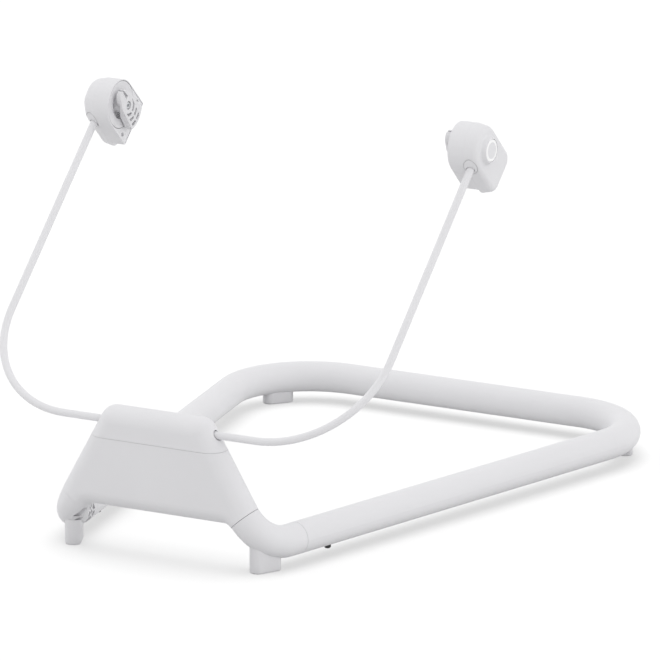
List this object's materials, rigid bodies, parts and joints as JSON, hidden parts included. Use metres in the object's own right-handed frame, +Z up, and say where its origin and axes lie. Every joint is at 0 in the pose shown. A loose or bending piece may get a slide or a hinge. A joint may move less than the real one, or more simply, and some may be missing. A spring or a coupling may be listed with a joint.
{
  "type": "bouncing baby seat stand",
  "caption": "Bouncing stand for a baby seat: a splayed floor loop of tube, a front console and a sprung wire bow that carries a reclining seat adapter on each leg.",
  "frame": {"origin": "on the floor under the middle of the bounding box", "axes": "+Z up, -Y toward the console at the front, +X toward the stand's right adapter as seen from the front"},
  "size_m": [0.5678, 0.77, 0.4884],
  "materials": {
    "coated_tube": "matte white powder coat",
    "coated_wire": "satin white powder coat",
    "white_plastic": "fine moulded texture, cool white",
    "nylon": "natural nylon",
    "sole_rubber": "white, matt",
    "black_plastic": "black, satin",
    "steel": "zinc plated"
  },
  "bodies": {
    "base": {"floor_loop": "coated_tube", "console_shell": "white_plastic", "console_back_cover": "white_plastic", "console_cap": "white_plastic", "wire_bed": "nylon", "console_cover_screws": "steel", "console_cap_screws": "steel", "wire_strap_screws": "steel", "elbow_screws": "steel", "left_elbow": "white_plastic", "left_front_foot": "white_plastic", "left_rear_foot": "white_plastic", "left_front_sole": "sole_rubber", "left_rear_sole": "sole_rubber", "left_wire_strap": "steel", "left_wire_bush": "nylon", "left_snap_spring": "steel", "right_elbow": "white_plastic", "right_front_foot": "white_plastic", "right_rear_foot": "white_plastic", "right_front_sole": "sole_rubber", "right_rear_sole": "sole_rubber", "right_wire_strap": "steel", "right_wire_bush": "nylon", "right_snap_spring": "steel"},
    "spring_frame": {"spring_wire": "coated_wire", "left_adapter_outer": "white_plastic", "left_adapter_inner": "white_plastic", "left_adapter_screws": "steel", "left_wire_grommet": "white_plastic", "left_button_spring": "steel", "right_adapter_outer": "white_plastic", "right_adapter_inner": "white_plastic", "right_adapter_screws": "steel", "right_wire_grommet": "white_plastic", "right_button_spring": "steel"},
    "left_recline_hub": {"left_hub": "white_plastic", "left_hub_clip": "steel", "left_seat_plug": "white_plastic", "left_plug_screw": "steel"},
    "left_button": {"left_release_button": "white_plastic"},
    "left_snap": {"left_snap_pin": "black_plastic"},
    "right_recline_hub": {"right_hub": "white_plastic", "right_hub_clip": "steel", "right_seat_plug": "white_plastic", "right_plug_screw": "steel"},
    "right_button": {"right_release_button": "white_plastic"},
    "right_snap": {"right_snap_pin": "black_plastic"}
  },
  "joints": [
    {"name": "bounce", "type": "hinge", "parent": "base", "child": "spring_frame", "pos_m": [0, -0.366, 0.1598], "axis": [1, 0, 0], "range_deg": [-9, 5], "stiffness_Nm_per_rad": 240},
    {"name": "left_recline", "type": "hinge", "parent": "spring_frame", "child": "left_recline_hub", "pos_m": [-0.2303, -0.06781, 0.45799], "axis": [1, 0, 0], "range_deg": [-15, 15]},
    {"name": "right_recline", "type": "hinge", "parent": "spring_frame", "child": "right_recline_hub", "pos_m": [0.2303, -0.06781, 0.45799], "axis": [1, 0, 0], "range_deg": [-15, 15]},
    {"name": "left_release", "type": "slide", "parent": "spring_frame", "child": "left_button", "axis": [1, 0, 0], "range_m": [0, 0.004], "stiffness_N_per_m": 600, "springref_m": -0.004, "deforming": ["left_button_spring"]},
    {"name": "right_release", "type": "slide", "parent": "spring_frame", "child": "right_button", "axis": [-1, 0, 0], "range_m": [0, 0.004], "stiffness_N_per_m": 600, "springref_m": -0.004, "deforming": ["right_button_spring"]},
    {"name": "left_snap_press", "type": "slide", "parent": "base", "child": "left_snap", "axis": [0, 0, 1], "range_m": [0, 0.0044], "stiffness_N_per_m": 1500, "springref_m": -0.003, "deforming": ["left_snap_spring"]},
    {"name": "right_snap_press", "type": "slide", "parent": "base", "child": "right_snap", "axis": [0, 0, 1], "range_m": [0, 0.0044], "stiffness_N_per_m": 1500, "springref_m": -0.003, "deforming": ["right_snap_spring"]}
  ]
}
